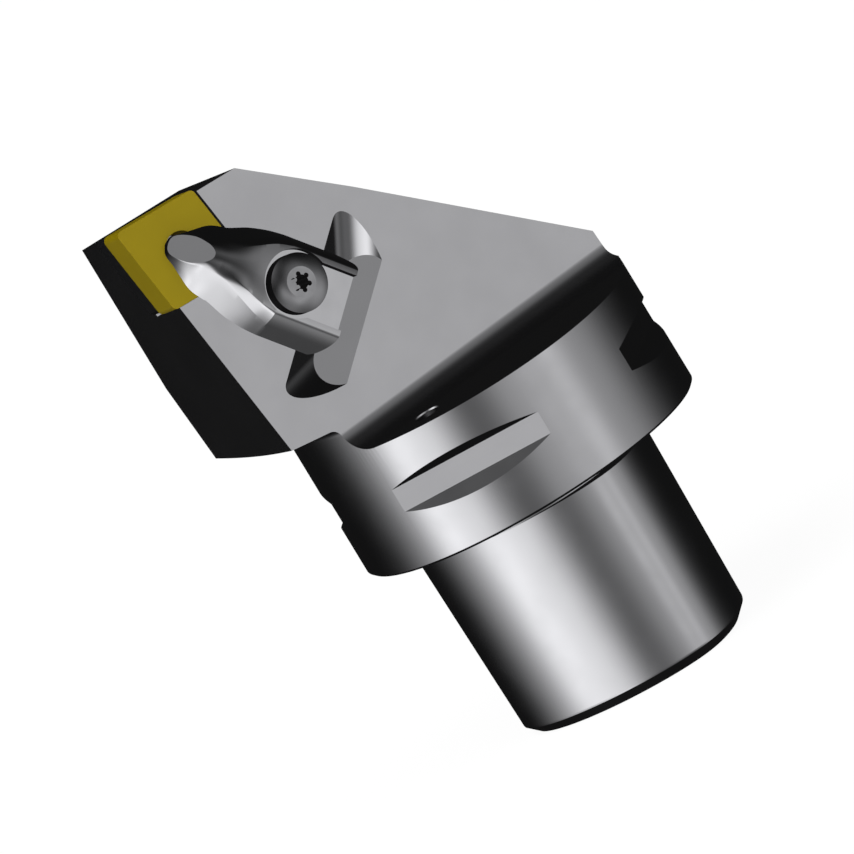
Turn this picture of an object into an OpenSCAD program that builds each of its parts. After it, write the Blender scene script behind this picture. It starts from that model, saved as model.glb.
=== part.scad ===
// Right-hand turning tool holder with a polygonal taper shank.
// Origin on the tool axis at the gauge face, +Z towards the head, +X towards the cutting edge, +Y out of the rake side.

/* [Shank] */
// Mean diameter of the polygon at the gauge face
shank_dm = 35; // [35:0.1:35.5]
// Eccentricity of the polygon
shank_ecc = 1.12; // [0.9:0.01:1.3]
// Length of the shank behind the gauge face
shank_len = 30; // [28:0.5:34]
// Reduction of the mean diameter per millimetre of shank
shank_taper = 0.05; // [0.03:0.005:0.06]
// Chamfer at the end of the shank
shank_chamfer = 1.5; // [0.8:0.1:2]
// Height of the round neck between the flange and the polygon
neck_h = 1.8; // [1:0.1:2.5]
// Radius of the round neck
neck_r = 16.2; // [15.8:0.1:16.2]
// Radius of the clamping bore
bore_r = 10.5; // [10:0.1:10.8]
// Radius of the groove that the clamping segments grip
groove_r = 12.2; // [11.4:0.1:12.4]
// Core radius of the pull-stud thread
thread_core_r = 7.25; // [7:0.05:7.5]

/* [Flange] */
// Radius of the flange
flange_r = 25; // [25:0.1:25.2]
// Thickness of the flange
flange_h = 17.8; // [17.4:0.1:18.2]
// Small chamfer around the flange's rear edge
flange_chamfer = 0.35; // [0.2:0.05:0.6]
// Distance of a gripper slot's floor from the axis
slot_floor = 22.3; // [21.8:0.1:23]
// Height of the slot floor's lower edge above the gauge face
slot_low = 8.15; // [7.8:0.05:8.5]
// Width of the slot floor
slot_w = 3.4; // [3:0.1:3.8]

/* [Head] */
// Radius of the turned blank of the head
blank_r = 35.2; // [34.8:0.1:35.6]
// Clearance angle of the front and side faces
relief = 6; // [5:0.5:7]
// Distance of the underside of the head below the axis
belly = 18; // [17:0.5:20]
// Distance of the flat on the far side from the axis
far_flat = 21.8; // [21:0.1:22.5]
// Radius of the fillet between the rake side and the flange
root_fillet = 3.8; // [3:0.1:5]
// Angle of the slanted side, front part
slant_front = 41.8; // [40:0.1:43]
// Angle of the slanted side, rear part
slant_rear = 43.3; // [42:0.1:45]

/* [Insert and seat] */
// Diameter of the insert's inscribed circle
insert_ic = 12.7; // [12.7:0.05:12.8]
// Thickness of the insert
insert_t = 4.76; // [4.6:0.02:4.8]
// Corner radius of the insert
insert_nose = 0.8; // [0.4:0.4:1.2]
// Radius of the insert's hole
insert_hole = 2.58; // [2.5:0.02:2.6]
// Rake and inclination of the seat
seat_tilt = 6; // [5:0.5:6]
// Thickness of the shim
shim_t = 3.18; // [3:0.02:3.3]
// How far the shim stands back from the insert's edges
shim_inset = 0.3; // [0.2:0.05:0.5]

/* [Clamp] */
// Direction of the clamp across the rake face
clamp_heading = -53.3; // [-54:0.1:-52]
// Width of the clamp at its heel
clamp_w = 14; // [13:0.1:14.5]
// Height of the pad under the screw head
pad_h = 4.2; // [4:0.1:4.5]
// Radius of the rounded upper edges of the clamp
edge_r = 2.6; // [2.2:0.1:2.8]
// Radius of the spot face under the screw head
spot_r = 4.7; // [4.5:0.1:4.9]
// Forward slope of the flat on the nose
facet_tilt = 30; // [28:1:34]
// Height of the middle of the flat on the nose
facet_z = 2.4; // [2.3:0.05:2.6]
// Height of the finger just in front of the screw
ridge_h = 5.4; // [5.2:0.1:5.6]
// Distance of the nose tip from the screw
nose_reach = 17.4; // [17.2:0.1:17.8]
// Gap under the middle of the clamp
arch_gap = 0.1; // [0.05:0.05:0.3]
// Radius of the cutter that made the heel groove
groove_cutter_r = 4; // [3.8:0.1:4.2]
// Slope of the ends of the heel groove
groove_flare = 1.1; // [1:0.05:1.2]

/* [Screws and nozzle] */
// Radius of the clamp screw's shank
screw_r = 2.45; // [2.4:0.01:2.46]
// Radius of the clamp screw's head
screw_head_r = 4.05; // [3.9:0.05:4.1]
// Radius of the shim screw's shank
shim_screw_r = 2.0; // [1.9:0.05:2]
// Outside radius of the spring under the clamp
spring_r = 3.3; // [3.2:0.05:3.35]
// Width and height of the spring wire
spring_wire = 0.6; // [0.5:0.05:0.65]
// Radius of the coolant nozzle
nozzle_r = 2; // [1.9:0.05:2.1]
// Radius of the nozzle's jet
jet_r = 0.7; // [0.5:0.05:0.9]

/* [Hidden] */
big = 100;
edge = insert_ic / sin(80);            // side of the rhombus
half_long = insert_ic / 2 / sin(40);   // centre to sharp corner
half_short = insert_ic / 2 / cos(40);
edge_front = 175;                      // heading of the front cutting edge on the rake face
edge_side = 95;                        // heading of the side cutting edge
nose_point = [35.1, 0, 60.06];
front_point = [21.8, 1.58, 58.32];     // a point on the upper edge of the front face
side_point = [33.31, 1.54, 47.16];     // a point on the upper edge of the side face
slant_front_point = [15.5, 0, 57.78];
slant_rear_point = [3.02, 0, 46.62];
face_drop = 0.1;                       // rake side of the head below the insert's top
seat_gap = 0.04;
root_z = flange_h - nose_point[2];
arc_n = 14;
clamp_pos = [-15.57, 18.95];
pad_rise = 0.05;                       // the pad around the spot face
heel_floor_x = -12.4;                  // where the groove's floor meets the rake side
heel_floor_c = 1.8;                    // centre of the cutter from that line
heel_half = 5.2;
heel_x = -7.7;
head_top = 6.6;
screw_tip = -14;
nozzle_pos = [15.5, 12];
nozzle_len = 6;
spring_seat = -5;
spring_turns = 3.5;
thread_gap = 0.03;
touch = 0.02;

color_steel = [0.66, 0.66, 0.68];
color_gold = [0.56, 0.49, 0.09];
color_carbide = [0.3, 0.3, 0.32];
color_screw = [0.5, 0.5, 0.52];

function polygon_point(a, dm, e) = [
    dm / 2 * cos(a) - 2 * e * cos(2 * a) + e * cos(4 * a),
    dm / 2 * sin(a) + 2 * e * sin(2 * a) + e * sin(4 * a)];
function on_arc(cx, cy, r, a0, a1, n) = [for (i = [0:n]) let (a = a0 + (a1 - a0) * i / n)
    [cx + r * cos(a), cy + r * sin(a)]];
function dm_at(z) = shank_dm + shank_taper * z;

// Frame of the rake face: z along its normal, origin at the insert's sharp corner
module on_rake() translate(nose_point) rotate([seat_tilt - 90, 0, -seat_tilt]) children();

// Frame of the clamp: x towards the nose, origin where the screw crosses the insert's top plane
module on_clamp() on_rake() translate([clamp_pos[0], clamp_pos[1], 0]) rotate([0, 0, clamp_heading]) children();

module on_insert() on_rake() rotate([0, 0, -45]) translate([-half_long, 0, 0]) children();

// Shank

module polygon_outline(dm)
    rotate(30) polygon([for (i = [0:119]) polygon_point(i * 3, dm, shank_ecc)]);

module shank() {
    body_h = shank_len - neck_h - shank_chamfer;
    top_dm = dm_at(-neck_h);
    low_dm = dm_at(-shank_len + shank_chamfer);
    translate([0, 0, -neck_h]) mirror([0, 0, 1]) {
        linear_extrude(height = body_h, scale = low_dm / top_dm) polygon_outline(top_dm);
        translate([0, 0, body_h])
            linear_extrude(height = shank_chamfer, scale = (dm_at(-shank_len) - 2 * shank_chamfer) / low_dm)
                polygon_outline(low_dm);
    }
    translate([0, 0, -neck_h - 0.5]) cylinder(r = neck_r, h = neck_h + 1, $fn = 96);
}

// Clamping bore, segment groove and pull-stud thread core, as one turned hollow
module shank_hollow()
    rotate_extrude($fn = 96) polygon([
        [0, -shank_len - 1], [bore_r + 1, -shank_len - 1], [bore_r + 1, -shank_len], [bore_r, -shank_len + 1],
        [bore_r, -24.5], [groove_r, -24.5 + (groove_r - bore_r)], [groove_r, -17 - (groove_r - bore_r)],
        [bore_r, -17], [bore_r, 2], [thread_core_r + 0.8, 2], [thread_core_r, 2.8],
        [thread_core_r, 13], [0, 16]]);

// Flange and head blank

module turned_blank() {
    flare_z = flange_h + 3.1;
    step = 1.3;
    rotate_extrude($fn = 128) polygon(concat(
        [[0, 0], [flange_r - flange_chamfer, 0], [flange_r, flange_chamfer], [flange_r, flare_z]],
        on_arc(flange_r + step, flare_z, step, 180, 101, 5),
        [[blank_r, flare_z + 2.9], [blank_r, nose_point[2] + 5], [0, nose_point[2] + 5]]));
}

// Everything above the rake side and in front of the flange, with the root fillet left standing
module rake_cut() {
    c = root_fillet;
    fillet_z = root_z + c;
    fillet_y = (c - fillet_z * sin(seat_tilt)) / cos(seat_tilt);
    drop = -face_drop;
    translate([nose_point[0], nose_point[1], nose_point[2]]) rotate([0, 0, -seat_tilt]) translate([0, drop, 0])
        rotate([90, 0, 90]) translate([0, 0, -big]) linear_extrude(height = 2 * big)
            polygon(concat(
                [[-20 * tan(seat_tilt), 20]],
                on_arc(fillet_y, fillet_z, c, 180 + seat_tilt, 270, arc_n),
                [[big, root_z], [big, 20]]));
}

// The same on the belly side
module belly_cut() {
    c = root_fillet;
    translate([-big, 0, 0]) rotate([90, 0, 90]) linear_extrude(height = 2 * big)
        polygon(concat(
            [[-belly, big], [-big, big], [-big, flange_h]],
            on_arc(-belly - c, flange_h + c, c, 270, 360, arc_n)));
}

module far_cut() {
    c = 2.5;
    rotate([90, 0, 0]) translate([0, 0, -big]) linear_extrude(height = 2 * big)
        polygon(concat(
            [[-far_flat, big], [-big, big], [-big, flange_h]],
            on_arc(-far_flat - c, flange_h + c, c, 270, 360, 8)));
}

module half_space_up() translate([-big, -big, 0]) cube(2 * big);

module head_cuts() {
    rake_cut();
    belly_cut();
    far_cut();
    translate(front_point) rotate([relief, -5.2, 0]) half_space_up();
    translate(side_point) rotate([0, 4.8, -relief]) rotate([0, 90, 0]) half_space_up();
    translate(slant_front_point) rotate([0, -slant_front, 0]) half_space_up();
    translate(slant_rear_point) rotate([0, -slant_rear, 0]) half_space_up();
}

module gripper_slots() {
    run = flange_r + 1 - slot_floor;
    side = run * tan(30);
    for (a = [45:90:315]) rotate([0, 0, a]) translate([0, 20, 0]) rotate([90, 0, 0]) linear_extrude(height = 40)
        polygon([[slot_floor, slot_low], [slot_floor + run, slot_low - side],
            [slot_floor + run, slot_low + slot_w + side], [slot_floor, slot_low + slot_w]]);
}

// Insert pocket

module pocket_outline(shift = 0) {
    far_front = [cos(edge_front), sin(edge_front)];
    far_side = [cos(edge_side), sin(edge_side)];
    corner = (edge + seat_gap) * (far_front + far_side) + shift * far_front;
    polygon([corner, corner - 40 * far_front, corner - 40 * far_front - 40 * far_side, corner - 40 * far_side]);
}

module pocket() on_rake() {
    floor_z = -insert_t - shim_t;
    corner = edge * [cos(edge_front) + cos(edge_side), sin(edge_front) + sin(edge_side)];
    translate([0, 0, floor_z]) linear_extrude(height = 20) pocket_outline();
    translate([0, 0, -1.6]) linear_extrude(height = 20) pocket_outline(0.36);
    translate([corner[0], corner[1], floor_z]) cylinder(r = 0.9, h = 20, $fn = 32);
}

module shim_screw_hole() on_insert()
    translate([0, 0, -insert_t - shim_t - 11]) cylinder(r = shim_screw_r + thread_gap, h = 14, $fn = 32);

// Heel groove: a flat-ended cutter leaning 45 degrees, run in and out on a slope

module cutter_row(reach, h)
    for (s = [-1, 1]) translate([0, s * reach, h]) cylinder(r = groove_cutter_r, h = 0.01, $fn = 48);

module heel_groove() on_clamp() translate([heel_floor_x, 0, -face_drop]) rotate([0, 45, 0])
    translate([heel_floor_c, 0, 0]) {
        hull() {
            cutter_row(heel_half, 0);
            cutter_row(heel_half + groove_flare * 12, 12);
        }
    }

module clamp_screw_hole() on_clamp() {
    translate([0, 0, screw_tip - 1.5]) cylinder(r = screw_r + thread_gap + 0.02, h = 20, $fn = 40);
    translate([0, 0, spring_seat]) cylinder(r = spring_r + 0.15, h = 10, $fn = 40);
}

module coolant_way() {
    a = atan2(nozzle_pos[1], nozzle_pos[0]);
    translate([nozzle_pos[0], nozzle_pos[1], flange_h - nozzle_len - 0.3])
        cylinder(r = nozzle_r + touch, h = nozzle_len + 1, $fn = 40);
    translate([nozzle_pos[0], nozzle_pos[1], flange_h - nozzle_len - 3.2]) cylinder(r = 1.5, h = 4, $fn = 32);
    translate([nozzle_pos[0], nozzle_pos[1], flange_h - nozzle_len - 2]) rotate([0, 0, a]) rotate([0, -105, 0])
        cylinder(r = 1.5, h = 15, $fn = 32);
}

module body() color(color_steel) difference() {
    union() {
        difference() {
            turned_blank();
            head_cuts();
            gripper_slots();
        }
        shank();
    }
    shank_hollow();
    pocket();
    shim_screw_hole();
    heel_groove();
    clamp_screw_hole();
    coolant_way();
}

// Insert, shim and their screw

module rhombus(inset, r) {
    k = inset + r;
    offset(r = r, $fn = 48) polygon([
        [half_long - k / sin(40), 0], [0, half_short - k / cos(40)],
        [-half_long + k / sin(40), 0], [0, -half_short + k / cos(40)]]);
}

module insert() color(color_gold) on_insert() difference() {
    translate([0, 0, -insert_t]) linear_extrude(height = insert_t) rhombus(0, insert_nose);
    translate([0, 0, -insert_t - 1]) cylinder(r = insert_hole, h = insert_t + 2, $fn = 48);
}

module shim() color(color_carbide) on_insert() difference() {
    translate([0, 0, -insert_t - shim_t + touch])
        linear_extrude(height = shim_t - 2 * touch) rhombus(shim_inset, insert_nose);
    translate([0, 0, -insert_t - shim_t - 1]) cylinder(r = shim_screw_r + 0.15, h = shim_t + 2, $fn = 40);
    translate([0, 0, -insert_t - 1.6]) cylinder(r1 = shim_screw_r + 0.1, r2 = shim_screw_r + 1.8, h = 1.7, $fn = 40);
}

module shim_screw() color(color_screw) on_insert() difference() {
    union() {
        translate([0, 0, -insert_t - shim_t - 10]) cylinder(r = shim_screw_r, h = shim_t + 9, $fn = 32);
        translate([0, 0, -insert_t - 1.5]) cylinder(r1 = shim_screw_r, r2 = shim_screw_r + 1.3, h = 1.3, $fn = 40);
    }
    translate([0, 0, -insert_t - 1.6]) cylinder(r = 1.4, h = 2, $fn = 6);
}

// Clamp

// One half of a section of the bar under the screw head: flat side, rounded edge and flat top
function bar_half(w) = [[w, arch_gap], [w, pad_h - edge_r], [w - 0.13 * edge_r, pad_h - 0.5 * edge_r],
    [w - 0.5 * edge_r, pad_h - 0.13 * edge_r], [w - edge_r, pad_h + pad_rise]];

// One half of a section of the finger: leaning flank up to a crease, then the rounded crown
function finger_half(w, crease, shoulder, foot) = [[w, foot], [(w + crease[0]) / 2 + 0.05, (foot + crease[1]) / 2],
    crease, [shoulder, ridge_h + crease[2] - 0.25], [0.55 * shoulder, ridge_h + crease[2]]];

// Sections from the heel to the nose, each with its place along the clamp
function clamp_sections() =
    let (w = clamp_w / 2)
    [[heel_x, bar_half(w - 2.2)], [heel_x + 0.7, bar_half(w - 0.8)], [heel_x + 2.2, bar_half(w)],
        [1.3, bar_half(w)],
        [2, finger_half(w, [6.2, 3.4, -0.2], 5, arch_gap)],
        [4.2, finger_half(w - 0.15, [5.3, 3.65, 0], 4.2, arch_gap)],
        [7, finger_half(w - 0.75, [3.95, 3.95, -0.1], 3.1, arch_gap)],
        [9.5, finger_half(w - 1.65, [2.6, 4, -0.55], 1.9, arch_gap)],
        [10.2, finger_half(w - 1.95, [2.35, 3.8, -0.75], 1.7, touch)],
        [12.3, finger_half(w - 2.4, [2, 3, -1.4], 1.2, touch)],
        [14.2, finger_half(w - 3.65, [2.15, 2.2, -2.2], 1.3, touch)],
        [15.6, finger_half(w - 4.75, [1.85, 1.5, -3], 1.2, touch)],
        [16.7, finger_half(w - 5.4, [1.4, 0.85, -3.8], 0.9, touch)],
        [nose_reach, finger_half(0.6, [0.45, 0.4, -4.75], 0.3, touch)]];

module clamp_blank() {
    rings = [for (q = clamp_sections())
        concat([for (c = q[1]) [q[0], c[0], c[1]]], [for (i = [4:-1:0]) [q[0], -q[1][i][0], q[1][i][1]]])];
    m = len(rings[0]);
    last = (len(rings) - 1) * m;
    polyhedron(
        points = [for (r = rings) each r],
        faces = concat(
            [[for (j = [0:m - 1]) j]],
            [[for (j = [m - 1:-1:0]) last + j]],
            [for (i = [0:m:last - m], j = [0:m - 1]) [i + j, i + m + j, i + m + (j + 1) % m]],
            [for (i = [0:m:last - m], j = [0:m - 1]) [i + j, i + m + (j + 1) % m, i + (j + 1) % m]]));
}

module nose_facet() translate([14.6, 0, facet_z]) rotate([0, facet_tilt, 0])
    translate([-3.4, -10, 0]) cube([20, 20, 10]);

// Wedge that bears on the front wall of the heel groove
module clamp_heel() {
    wall = heel_floor_x + (heel_floor_c + groove_cutter_r) * sqrt(2) + face_drop - 2 * touch;
    rear = heel_x + 0.1;
    rotate([90, 0, 0]) translate([0, 0, -4.4]) linear_extrude(height = 8.8) polygon([
        [rear, 1.5], [rear, rear - wall + 0.3], [rear + 0.3, rear - wall + 0.3], [wall + 0.8, 0.8],
        [wall + 0.8, 1.5]]);
}

module clamp() color(color_steel) on_clamp() difference() {
    union() {
        difference() {
            clamp_blank();
            nose_facet();
        }
        clamp_heel();
        translate([14.3, 0, -1.6]) cylinder(r1 = 1.9, r2 = 2.1, h = 2.4, $fn = 40);
    }
    translate([0, 0, pad_h]) cylinder(r = spot_r, h = 10, $fn = 64);
    translate([0, 0, -10]) cylinder(r = screw_r + 0.25, h = 30, $fn = 40);
}

// Clamp screw

module six_lobe(r) {
    circle(r = 0.74 * r, $fn = 32);
    for (a = [0:60:300]) rotate(a) translate([0.74 * r, 0]) circle(r = 0.26 * r, $fn = 24);
}

module clamp_screw() color(color_screw) on_clamp() difference() {
    rotate_extrude($fn = 64) polygon(concat(
        [[0, screw_tip], [screw_r - 0.5, screw_tip], [screw_r, screw_tip + 0.5], [screw_r, pad_h + touch],
            [screw_head_r, pad_h + touch], [screw_head_r, head_top]],
        [for (i = [1:6]) [screw_head_r - 1.95 * i / 6, head_top + 1.2 * sin(i * 15)]],
        [[0, head_top + 1.2]]));
    translate([0, 0, head_top + 1.2 - 1.9]) linear_extrude(height = 3) rotate(12) six_lobe(1.42);
}

// Spring of flat wire around the screw, from its seat in the body to the clamp's arch
module clamp_spring() color(color_screw) on_clamp() {
    free_h = arch_gap - spring_seat - 2 * touch;
    pitch = (free_h - spring_wire) / spring_turns;
    sector = 360 * spring_wire / pitch;
    inner = spring_r - spring_wire;
    translate([0, 0, spring_seat + touch]) linear_extrude(height = free_h, twist = -360 * free_h / pitch, slices = 60)
        polygon(concat(on_arc(0, 0, spring_r, 0, sector, 4), on_arc(0, 0, inner, sector, 0, 4)));
}

// Coolant nozzle: a pressed-in plug with a dished face
module coolant_nozzle() color(color_screw)
    translate([nozzle_pos[0], nozzle_pos[1], flange_h - nozzle_len - 0.2]) difference() {
        cylinder(r = nozzle_r, h = nozzle_len, $fn = 40);
        translate([0, 0, -1]) cylinder(r = jet_r, h = nozzle_len + 2, $fn = 24);
        translate([0, 0, nozzle_len - 0.9]) cylinder(r1 = jet_r, r2 = nozzle_r - 0.3, h = 1, $fn = 40);
    }

body();
shim();
shim_screw();
insert();
clamp();
clamp_screw();
clamp_spring();
coolant_nozzle();
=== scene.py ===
"""Looks of the right-hand turning tool holder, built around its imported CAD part."""

import logging
import math
from dataclasses import dataclass
from enum import Enum
from functools import partial
from typing import Callable, Iterable, Sequence

import bmesh
import bpy
from mathutils import Matrix, Vector

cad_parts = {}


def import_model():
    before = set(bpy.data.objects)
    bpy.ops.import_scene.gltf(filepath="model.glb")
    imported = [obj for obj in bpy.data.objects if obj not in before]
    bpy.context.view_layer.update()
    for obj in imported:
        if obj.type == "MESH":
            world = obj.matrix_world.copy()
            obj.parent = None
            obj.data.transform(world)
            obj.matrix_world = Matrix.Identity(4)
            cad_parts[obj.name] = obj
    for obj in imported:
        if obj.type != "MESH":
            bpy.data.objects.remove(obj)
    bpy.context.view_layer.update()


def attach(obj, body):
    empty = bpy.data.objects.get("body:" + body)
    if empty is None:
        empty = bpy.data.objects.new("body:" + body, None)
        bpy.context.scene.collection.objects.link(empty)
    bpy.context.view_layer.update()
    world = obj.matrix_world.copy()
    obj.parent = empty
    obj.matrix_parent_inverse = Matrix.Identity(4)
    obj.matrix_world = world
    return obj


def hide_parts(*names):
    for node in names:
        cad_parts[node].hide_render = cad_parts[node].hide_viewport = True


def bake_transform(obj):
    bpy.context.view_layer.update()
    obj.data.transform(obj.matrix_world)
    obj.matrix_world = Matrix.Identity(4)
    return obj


LOG = logging.getLogger("tool_holder")
MM = 0.001
TURN = 2 * math.pi
# Millimetres: past every face of the part, and past the face that a shorter cutter leaves.
BIG = 120.0
CLEAR = 20.0
# Millimetres within which corners are one, in a new mesh and in a finished one, and the shortest edge kept.
WELD, FINAL_WELD, SLIVER = 1e-5, 2e-4, 1e-4

Point = tuple[float, float]
Triple = tuple[float, float, float]
Outline = list[Point]
Ring = list[Vector]
Solid = bpy.types.Object
Tree = bpy.types.NodeTree
Material = bpy.types.Material


class Cut(Enum):
    """How one closed mesh changes another."""

    JOIN = "UNION"
    REMOVE = "DIFFERENCE"
    KEEP = "INTERSECT"


class Machining(Enum):
    """Which tool left a face of the holder, and so which finish it shows."""

    TURNED = 0
    MILLED = 1


def linear(code: str) -> tuple[float, float, float, float]:
    """Turns an sRGB hex colour into a linear one, by the curve of the sRGB standard.

    Args:
        code: six hex digits after a hash.

    Returns:
        Linear red, green, blue and an alpha of 1.
    """
    parts = [int(code[i : i + 2], 16) / 255 for i in (1, 3, 5)]
    done = [p / 12.92 if p <= 0.04045 else ((p + 0.055) / 1.055) ** 2.4 for p in parts]
    return (done[0], done[1], done[2], 1.0)


def add_node(
    tree: Tree, kind: str, settings: dict | None = None, links: dict | None = None
) -> bpy.types.Node:
    """Adds one node with its settings and its links.

    Args:
        tree: node tree that takes the node.
        kind: Blender's type name of the node.
        settings: a name of the node's own property, or of an input socket, to its value.
        links: an input socket's name or number to the output socket that feeds it.

    Returns:
        The new node.
    """
    node = tree.nodes.new(kind)
    for key, value in (settings or {}).items():
        if isinstance(key, str) and hasattr(node, key):
            setattr(node, key, value)
        else:
            node.inputs[key].default_value = value
    for key, output in (links or {}).items():
        tree.links.new(output, node.inputs[key])
    return node


def new_material(name: str) -> tuple[Material, Tree]:
    """Makes a material with an empty node tree.

    Args:
        name: the finish's name.

    Returns:
        The material and its tree.
    """
    material = bpy.data.materials.new(name)
    material.use_nodes = True
    material.node_tree.nodes.clear()
    return material, material.node_tree


@dataclass(frozen=True)
class Steel:
    """Bare machined steel: a mirror broken up by feed marks, one feed wide and a few grains long.

    A feed is that of a real lathe or mill, up to the widest that such a part shows. The grain is the size of
    the patches in which the shine varies.
    """

    name: str
    colour: str = "#D0D0D3"
    roughness: float = 0.16
    roughness_spread: float = 0.05
    feed_mm: float = 0.12
    feed_depth: float = 0.05
    bump_mm: float = 0.02
    lay: Triple = (0.0, 0.0, 1.0)
    grain_mm: float = 6.0
    mark_grains: float = 4.0
    cloud_range: Point = (0.3, 0.7)

    def build(self, frame: Matrix | None = None) -> Material:
        """Builds the finish.

        Args:
            frame: the frame whose axes the lay is counted in; none for the part's own.

        Returns:
            The material.
        """
        material, tree = new_material(self.name)
        add = partial(add_node, tree)
        place = add("ShaderNodeTexCoord").outputs["Object"]
        turn = (frame or Matrix.Identity(4)).to_3x3().inverted().to_euler()
        level = add("ShaderNodeMapping", {"Rotation": tuple(turn)}, {"Vector": place})
        # The noise is squeezed along the lay, so that a mark is narrow that way and runs far across it.
        mark_mm = self.grain_mm * self.mark_grains
        scale = tuple(1 / ((self.feed_mm if across else mark_mm) * MM) for across in self.lay)
        squeeze = add("ShaderNodeMapping", {"Scale": scale}, {"Vector": level.outputs["Vector"]})
        fine = {"Scale": 1.0, "Detail": 2.0, "Roughness": 0.6}
        marks = add("ShaderNodeTexNoise", fine, {"Vector": squeeze.outputs["Vector"]})
        broad = {"Scale": 1 / (self.grain_mm * MM), "Detail": 3.0, "Roughness": 0.55}
        cloud = add("ShaderNodeTexNoise", broad, {"Vector": place})
        limits = {
            "From Min": self.cloud_range[0],
            "From Max": self.cloud_range[1],
            "To Min": self.roughness - self.roughness_spread,
            "To Max": self.roughness + self.roughness_spread,
        }
        gloss = add("ShaderNodeMapRange", limits, {"Value": cloud.outputs["Fac"]})
        depth = {"Strength": self.feed_depth, "Distance": self.bump_mm * MM}
        bump = add("ShaderNodeBump", depth, {"Height": marks.outputs["Fac"]})
        shader = add(
            "ShaderNodeBsdfPrincipled",
            {"Base Color": linear(self.colour), "Metallic": 1.0},
            {"Roughness": gloss.outputs["Result"], "Normal": bump.outputs["Normal"]},
        )
        add("ShaderNodeOutputMaterial", links={"Surface": shader.outputs["BSDF"]})
        return material


@dataclass(frozen=True)
class Coated:
    """Ground cemented carbide, bare or under a thin hard coating: satin, with a fine even grain.

    The real grain is a few thousandths of a millimetre. It is drawn coarser here, so that it shows.
    """

    name: str
    colour: str
    second: str
    metallic: float = 0.35
    roughness: float = 0.42
    grain_mm: float = 0.09
    grain_depth: float = 0.08
    bump_mm: float = 0.01
    cloud_mm: float = 5.0

    def build(self) -> Material:
        """Builds the finish.

        Returns:
            The material.
        """
        material, tree = new_material(self.name)
        add = partial(add_node, tree)
        place = add("ShaderNodeTexCoord").outputs["Object"]
        grain, cloud = (
            add("ShaderNodeTexNoise", {"Scale": 1 / (size * MM), "Detail": 2.0}, {"Vector": place})
            for size in (self.grain_mm, self.cloud_mm)
        )
        colours = {"data_type": "RGBA", 6: linear(self.colour), 7: linear(self.second)}
        tint = add("ShaderNodeMix", colours, {"Factor": cloud.outputs["Fac"]})
        depth = {"Strength": self.grain_depth, "Distance": self.bump_mm * MM}
        bump = add("ShaderNodeBump", depth, {"Height": grain.outputs["Fac"]})
        shader = add(
            "ShaderNodeBsdfPrincipled",
            {"Metallic": self.metallic, "Roughness": self.roughness},
            {"Base Color": tint.outputs[2], "Normal": bump.outputs["Normal"]},
        )
        add("ShaderNodeOutputMaterial", links={"Surface": shader.outputs["BSDF"]})
        return material


# Turned steel: rings left by the lathe's feed run round the flange, the blank and the shank.
TURNED = Steel("fine_turned_steel", feed_mm=0.16, feed_depth=0.04)
# Milled steel: faint straight passes across the flat faces of the head, with an even dull shine.
MILLED = Steel(
    "fine_milled_steel",
    roughness=0.2,
    roughness_spread=0.015,
    feed_mm=0.35,
    feed_depth=0.03,
    lay=(1.0, 0.0, 0.0),
)
# Polished forged steel of the clamp: soft flowing lights and hardly a mark.
FORGED = Steel("polished_forged_steel", roughness=0.13, roughness_spread=0.03, feed_depth=0.01, grain_mm=3.0)
# Blackened screw steel, rubbed bright: greyer than the holder, with fine rings.
SCREW = Steel("rubbed_screw_steel", colour="#B4B4B7", roughness=0.22, feed_depth=0.03, grain_mm=2.0)
# Drawn spring wire: dull grey.
WIRE = Steel("drawn_spring_wire", colour="#9A9A9E", roughness=0.25, feed_depth=0.02, grain_mm=1.0)
# Olive gold coating over cemented carbide: an even, half metallic satin.
GOLD = Coated("olive_gold_coated_carbide", "#C4AC0E", "#B9A20C")
# Bare ground cemented carbide: dark grey with a metal's shine.
CARBIDE = Coated("ground_dark_carbide", "#4B4B4E", "#424245", metallic=0.8, roughness=0.3)


def moved(x: float, y: float, z: float) -> Matrix:
    """Returns the matrix that moves by x, y and z."""
    return Matrix.Translation((x, y, z))


def turned(x: float = 0.0, y: float = 0.0, z: float = 0.0) -> Matrix:
    """Turns about X, then Y, then Z.

    Args:
        x: degrees about X.
        y: degrees about Y.
        z: degrees about Z.

    Returns:
        The rotation.
    """
    return (
        Matrix.Rotation(math.radians(z), 4, "Z")
        @ Matrix.Rotation(math.radians(y), 4, "Y")
        @ Matrix.Rotation(math.radians(x), 4, "X")
    )


def towards(azimuth: float, elevation: float) -> Vector:
    """Returns the unit vector with this azimuth and elevation in degrees."""
    a, e = math.radians(azimuth), math.radians(elevation)
    return Vector((math.cos(a) * math.cos(e), math.sin(a) * math.cos(e), math.sin(e)))


def arc(cx: float, cy: float, r: float, start: float, end: float, steps: int) -> Outline:
    """Points along an arc.

    Args:
        cx: centre's first coordinate.
        cy: centre's second coordinate.
        r: radius.
        start: first angle in degrees.
        end: last angle in degrees.
        steps: number of chords.

    Returns:
        The points, one more than the chords.
    """
    angles = [math.radians(start + (end - start) * i / steps) for i in range(steps + 1)]
    return [(cx + r * math.cos(a), cy + r * math.sin(a)) for a in angles]


def circle(r: float, steps: int = 64, cx: float = 0.0, cy: float = 0.0) -> Outline:
    """Returns the points round a full circle, the first not repeated."""
    return arc(cx, cy, r, 0, 360, steps)[:-1]


def rectangle(x0: float, y0: float, x1: float, y1: float) -> Outline:
    """Returns the corners of the rectangle between two opposite ones."""
    return [(x0, y0), (x1, y0), (x1, y1), (x0, y1)]


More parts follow.
